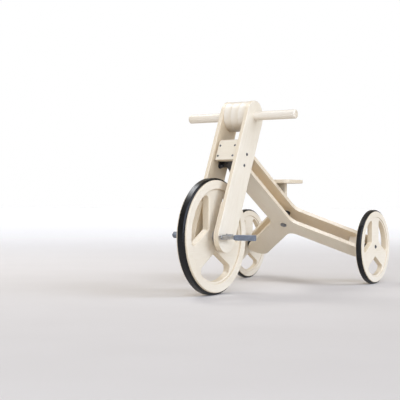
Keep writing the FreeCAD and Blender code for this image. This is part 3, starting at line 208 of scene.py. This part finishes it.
def solid_wood(name, grain, centre, seed=0.0):
    """Steamed-free beech: fine straight grain, short dark ray flecks, growth rings on the end grain."""
    g = Graph(name)
    grain = Vector(grain).normalized()
    ref = AZ if abs(grain.z) < 0.9 else AX
    a = grain.cross(ref).normalized()
    b = grain.cross(a).normalized()
    p = g.vm("SUBTRACT", g.pos, tuple(centre))
    u = g.dot(p, grain)
    x = g.dot(p, a)
    y = g.dot(p, b)
    wob = g.noise(g.xyz(g.m("MULTIPLY", u, 4.0), g.m("MULTIPLY", x, 10.0), g.m("MULTIPLY", y, 10.0)), 1.0, 2.0, 0.5)
    cx = g.m("ADD", x, 0.045 + seed * 0.003)
    cy = g.m("ADD", y, 0.060)
    r = g.m("SQRT", g.m("ADD", g.m("MULTIPLY", cx, cx), g.m("MULTIPLY", cy, cy)))
    r = g.m("ADD", r, g.m("MULTIPLY", wob, 0.006))
    ring = g.m("SINE", g.m("MULTIPLY", r, 2400.0))
    ring = g.span(ring, 0.1, 1.0)
    fleck = g.noise(g.xyz(g.m("MULTIPLY", u, 210.0), g.m("MULTIPLY", x, 1400.0), g.m("MULTIPLY", y, 1400.0)), 1.0, 1.0, 0.4)
    fleck = g.span(fleck, 0.62, 0.72)
    fibre = g.noise(g.xyz(g.m("MULTIPLY", u, 25.0), g.m("MULTIPLY", x, 700.0), g.m("MULTIPLY", y, 700.0)), 1.0, 3.0, 0.6)
    slow = g.noise(g.xyz(g.m("MULTIPLY", u, 3.0), g.m("MULTIPLY", x, 22.0), g.m("MULTIPLY", y, 22.0)), 1.0 + seed * 0.03, 2.0, 0.5)
    col = g.mix(g.span(slow, 0.3, 0.75), (0.765, 0.700, 0.590), (0.690, 0.600, 0.460))
    col = g.mix(g.m("MULTIPLY", ring, 0.20), col, (0.640, 0.520, 0.360))
    col = g.mix(g.span(fibre, 0.46, 0.74, 0.0, 0.22), col, (0.600, 0.480, 0.320))
    col = g.mix(g.m("MULTIPLY", fleck, 0.38), col, (0.500, 0.370, 0.230))
    end = g.span(g.m("ABSOLUTE", g.dot(g.nrm, grain)), 0.75, 0.95)
    col = g.mix(g.m("MULTIPLY", end, 0.35), col, (0.560, 0.440, 0.290))
    col = wear(g, col, 0.12)
    h = g.m("SUBTRACT", g.m("MULTIPLY", fibre, 0.5), g.m("MULTIPLY", fleck, 0.6))
    return g.set(Base_Color=col, Roughness=g.span(slow, 0.3, 0.7, 0.34, 0.44), Normal=g.bump(h, 0.35, 0.0002),
                 IOR=1.47, Coat_Weight=0.22, Coat_Roughness=0.26)


# ------------------------------------------------------------------ rubber, steel, plastics
def rubber(name, centre):
    g = Graph(name)
    p = g.vm("SUBTRACT", g.pos, tuple(centre))
    fine = g.noise(g.pos, 900.0, 3.0, 0.6)
    dust = g.noise(g.pos, 26.0, 4.0, 0.62)
    scuff = g.noise(g.pos, 140.0, 3.0, 0.65, 0.4)
    x = g.dot(p, AX)
    z = g.dot(p, AZ)
    rad = g.m("SQRT", g.m("ADD", g.m("MULTIPLY", x, x), g.m("MULTIPLY", z, z)))
    lines = g.m("SINE", g.m("MULTIPLY", g.dot(p, AY), 2600.0))
    col = g.mix(g.span(dust, 0.42, 0.78, 0.0, 0.55), (0.0034, 0.0036, 0.0040), (0.0095, 0.0094, 0.0092))
    col = g.mix(g.span(scuff, 0.60, 0.80, 0.0, 0.30), col, (0.024, 0.023, 0.022))
    rough = g.m("ADD", g.span(dust, 0.30, 0.75, 0.24, 0.38), g.span(scuff, 0.60, 0.80, 0.0, 0.10))
    h = g.m("ADD", g.m("MULTIPLY", fine, 0.6), g.m("MULTIPLY", g.m("MULTIPLY", lines, g.span(rad, 0.0, 0.001)), 0.10))
    return g.set(Base_Color=col, Roughness=rough, Normal=g.bump(h, 0.30, 0.00018), IOR=1.38)


def zinc(name, bright=(0.560, 0.565, 0.570), dull=(0.420, 0.424, 0.426), spot=(0.300, 0.304, 0.310)):
    g = Graph(name)
    spangle = g.cells(g.pos, 420.0)
    fine = g.noise(g.pos, 1800.0, 2.0, 0.6)
    slow = g.noise(g.pos, 55.0, 3.0, 0.6)
    col = g.mix(g.span(slow, 0.3, 0.75), bright, dull)
    col = g.mix(g.span(spangle, 0.2, 0.8, 0.0, 0.25), col, spot)
    rough = g.m("ADD", g.span(slow, 0.3, 0.7, 0.24, 0.36), g.span(fine, 0.4, 0.7, 0.0, 0.06))
    return g.set(Base_Color=col, Metallic=1.0, Roughness=rough, Normal=g.bump(fine, 0.25, 0.00006))


def black_steel(name, gloss=0.36):
    g = Graph(name)
    peel = g.noise(g.pos, 620.0, 2.0, 0.5)
    slow = g.noise(g.pos, 40.0, 3.0, 0.6)
    col = g.mix(g.span(slow, 0.35, 0.75), (0.016, 0.016, 0.017), (0.030, 0.030, 0.031))
    col = g.mix(g.span(peel, 0.62, 0.78, 0.0, 0.3), col, (0.055, 0.055, 0.056))
    return g.set(Base_Color=col, Roughness=g.span(slow, 0.3, 0.7, gloss, gloss + 0.12),
                 Normal=g.bump(peel, 0.35, 0.00012), IOR=1.5)


def plastic(name, light, dark, rough=0.42, grain_scale=900.0, stripes=None, seed=0.0):
    g = Graph(name)
    tex = g.noise(g.pos, grain_scale, 2.0, 0.6)
    slow = g.noise(g.pos, 48.0 + seed, 3.0, 0.6)
    col = g.mix(g.span(slow, 0.32, 0.72), light, dark)
    col = g.mix(g.span(tex, 0.50, 0.74, 0.0, 0.25), col, tuple(c * 0.8 for c in dark))
    return g.set(Base_Color=col, Roughness=g.span(slow, 0.3, 0.7, rough - 0.05, rough + 0.07),
                 Normal=g.bump(tex, 0.35, 0.00010), IOR=1.5)


def paint(node, mat):
    me = NODES[node].data
    if len(me.materials) == 0:
        me.materials.append(mat)
    for i in range(len(me.materials)):
        me.materials[i] = mat


def base_of(node, n):
    """Lowest reach of the CAD node along n."""
    n = Vector(n).normalized()
    return min(v.co.dot(n) for v in NODES[node].data.vertices)


def reach_of(node, n):
    n = Vector(n).normalized()
    d = [v.co.dot(n) for v in NODES[node].data.vertices]
    return min(d), max(d)


def ply_node(node, n, plies, grain, seed, painted_shade_side=0):
    lo, hi = reach_of(node, n)
    paint(node, plywood("wood_" + node, n, lo, hi - lo, plies, grain, seed, painted_shade_side))


# the faces that look into the gaps between the frame plates, fork blades and doublers get painted shade through the
# last argument
ply_node("frame_plate_lower", PLATE_N, 9, PLATE_E, 1.7, painted_shade_side=1)
ply_node("frame_plate_upper", PLATE_N, 9, PLATE_E, 4.2, painted_shade_side=-1)
ply_node("seat_board", AZ, 9, AX, 6.1)
ply_node("seat_post", AX, 9, AZ, 7.9)
ply_node("seat_gusset", AY, 9, AZ, 8.3)
ply_node("fork_blade_left", AY, 9, FORK_S, 11.3, painted_shade_side=-1)
ply_node("fork_blade_right", AY, 9, FORK_S, 13.8, painted_shade_side=1)
ply_node("fork_doubler_left", AY, 5, FORK_S, 15.2, painted_shade_side=-1)
ply_node("fork_doubler_right", AY, 5, FORK_S, 16.6, painted_shade_side=1)
ply_node("block_front_plate", FORK_Q, 9, AY, 18.4)
ply_node("front_wheel_web", AY, 17, AX, 21.9)
for s, seed in (("left", 24.5), ("right", 27.3)):
    ply_node("rear_web_" + s, AY, 13, AX, seed)


def paired_rings(node, seed, gap_lo, gap_hi, plies):
    """Two thin veneered rings, one on each face of a wheel."""
    lo, hi = reach_of(node, AY)
    t = (hi - lo - (gap_hi - gap_lo)) / 2.0
    paint(node, plywood("wood_" + node, AY, lo, t, plies, AX, seed))


for node, web, plies, seed in (("front_rings", "front_wheel_web", 5, 31.0),
                               ("rear_rings_left", "rear_web_left", 3, 33.7),
                               ("rear_rings_right", "rear_web_right", 3, 36.1)):
    a, b = reach_of(web, AY)
    paired_rings(node, seed, a, b, plies)

for node, grain, seed in (("bar_disc_left", FORK_S, 1.0), ("bar_disc_centre", FORK_S, 2.2),
                          ("bar_disc_right", FORK_S, 3.1), ("handlebar", AY, 4.7),
                          ("steering_block", AY, 5.5), ("arm_block_left", AX, 6.4), ("arm_block_right", AX, 7.2)):
    lo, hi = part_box(node)
    paint(node, solid_wood("beech_" + node, grain, (lo + hi) / 2, seed))

for node in ("front_tyre", "rear_tyre_left", "rear_tyre_right"):
    lo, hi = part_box(node)
    paint(node, rubber("rubber_" + node, (lo + hi) / 2))

ZINC = zinc("zinc_plate")
for node in ("junction_bolt", "junction_nut", "stub_axle_left", "stub_axle_right", "hub_screws", "seat_screws",
             "blade_bolts", "front_plate_screws", "pin_nut", "pin_washers", "steering_pin", "hub_flanges",
             "front_axle", "crank_left", "crank_right", "pedal_spindle_left", "pedal_spindle_right"):
    paint(node, ZINC)

DARK = zinc("dark_zinc", (0.115, 0.115, 0.120), (0.070, 0.070, 0.074), (0.045, 0.045, 0.048))
STEEL = zinc("grey_steel", (0.300, 0.315, 0.345), (0.190, 0.198, 0.215), (0.090, 0.094, 0.105))
for node in ("blade_bolts", "front_plate_screws", "hub_screws"):
    paint(node, DARK)
for node in ("junction_bolt", "junction_nut"):
    paint(node, STEEL)

BLACK = black_steel("black_powder_coat")
for node in ("head_tube", "bracket_lower", "bracket_upper", "blade_cap_nuts", "bracket_screws",
             "junction_sleeve", "axle_spacers"):
    paint(node, BLACK)

NYLON = plastic("black_nylon", (0.030, 0.030, 0.031), (0.020, 0.020, 0.021), 0.45)
for node in ("head_bushes", "fork_bushes", "rear_bush_left", "rear_bush_right"):
    paint(node, NYLON)

RESIN = plastic("grey_blue_resin", (0.205, 0.228, 0.262), (0.150, 0.168, 0.195), 0.40)
CAPS = plastic("pedal_cap_resin", (0.160, 0.182, 0.215), (0.110, 0.126, 0.150), 0.50)
for s in ("left", "right"):
    paint("pedal_" + s, RESIN)
    paint("pedal_" + s + "_caps", CAPS)


# ------------------------------------------------------------------ floor, light and camera
def floor_sheet():
    me = bpy.data.meshes.new("studio_floor")
    r = 24.0
    me.from_pydata([(-r, -r, 0), (r, -r, 0), (r, r, 0), (-r, r, 0)], [], [(0, 1, 2, 3)])
    ob = bpy.data.objects.new("studio_floor", me)
    bpy.context.scene.collection.objects.link(ob)
    g = Graph("pale_floor")
    n = g.noise(g.pos, 3.0, 3.0, 0.5)
    near = g.mix(g.span(n, 0.3, 0.7), (0.635, 0.592, 0.545), (0.650, 0.607, 0.560))
    far = g.span(g.vm("LENGTH", g.pos), 0.9, 5.0)
    me.materials.append(g.set(Base_Color=g.mix(far, near, (0.97, 0.94, 0.89)), Roughness=0.85,
                              Emission_Color=(1.0, 1.0, 1.0, 1.0),
                              Emission_Strength=g.span(g.vm("LENGTH", g.pos), 1.2, 9.0, 0.0, 0.16)))
    ob.location.z = -0.0004
    return ob


floor_sheet()

world = bpy.data.worlds.new("studio")
bpy.context.scene.world = world
world.use_nodes = True
bg = world.node_tree.nodes.get("Background") or world.node_tree.nodes.new("ShaderNodeBackground")
bg.inputs["Color"].default_value = (1.0, 0.87, 0.67, 1.0)
bg.inputs["Strength"].default_value = 0.37
sky = world.node_tree.nodes.new("ShaderNodeBackground")
sky.inputs["Color"].default_value = (1.0, 1.0, 1.0, 1.0)
sky.inputs["Strength"].default_value = 1.0
ray = world.node_tree.nodes.new("ShaderNodeLightPath")
pick = world.node_tree.nodes.new("ShaderNodeMixShader")
wout = world.node_tree.nodes.get("World Output") or world.node_tree.nodes.new("ShaderNodeOutputWorld")
world.node_tree.links.new(ray.outputs["Is Camera Ray"], pick.inputs[0])
world.node_tree.links.new(bg.outputs[0], pick.inputs[1])
world.node_tree.links.new(sky.outputs[0], pick.inputs[2])
world.node_tree.links.new(pick.outputs[0], wout.inputs["Surface"])


def soft_light(name, at, aim, size, power, colour=(1.0, 1.0, 1.0)):
    data = bpy.data.lights.new(name, "AREA")
    data.shape = "RECTANGLE"
    data.size, data.size_y = size
    data.energy = power
    data.color = colour
    ob = bpy.data.objects.new(name, data)
    bpy.context.scene.collection.objects.link(ob)
    ob.location = at
    ob.rotation_mode = "QUATERNION"
    ob.rotation_quaternion = (Vector(aim) - Vector(at)).to_track_quat("-Z", "Y")
    return ob


def soft_sun(name, towards, angle, strength, colour=(1.0, 1.0, 1.0)):
    data = bpy.data.lights.new(name, "SUN")
    data.angle = math.radians(angle)
    data.energy = strength
    data.color = colour
    ob = bpy.data.objects.new(name, data)
    bpy.context.scene.collection.objects.link(ob)
    ob.location = (0, 0, 3)
    ob.rotation_mode = "QUATERNION"
    ob.rotation_quaternion = (-Vector(towards)).to_track_quat("-Z", "Y")
    return ob


soft_sun("key_side", (-0.15, 0.87, 0.46), 45.0, 1.90, (0.865, 0.990, 1.25))
soft_sun("key_front", (0.80, 0.33, 0.46), 60.0, 2.38, (0.865, 0.990, 1.25))
soft_light("rim_right", (-0.2, -1.7, 2.6), (0.1, 0.0, 0.3), (1.2, 0.8), 34.0, (0.93, 0.96, 1.0))

cam_data = bpy.data.cameras.new("camera")
cam_data.lens = 89.46
cam_data.sensor_width = 36.0
cam_data.clip_start, cam_data.clip_end = 0.05, 60.0
cam = bpy.data.objects.new("camera", cam_data)
bpy.context.scene.collection.objects.link(cam)
yaw, pitch = math.radians(32.6673), math.radians(0.038)
cam.location = (2.8208, 1.5763, 0.2861)
look = Vector((-math.cos(yaw) * math.cos(pitch), -math.sin(yaw) * math.cos(pitch), -math.sin(pitch)))
cam.rotation_mode = "QUATERNION"
cam.rotation_quaternion = look.to_track_quat("-Z", "Y")
bpy.context.scene.camera = cam

view = bpy.context.scene.view_settings
view.view_transform = "Standard"
view.look = "None"
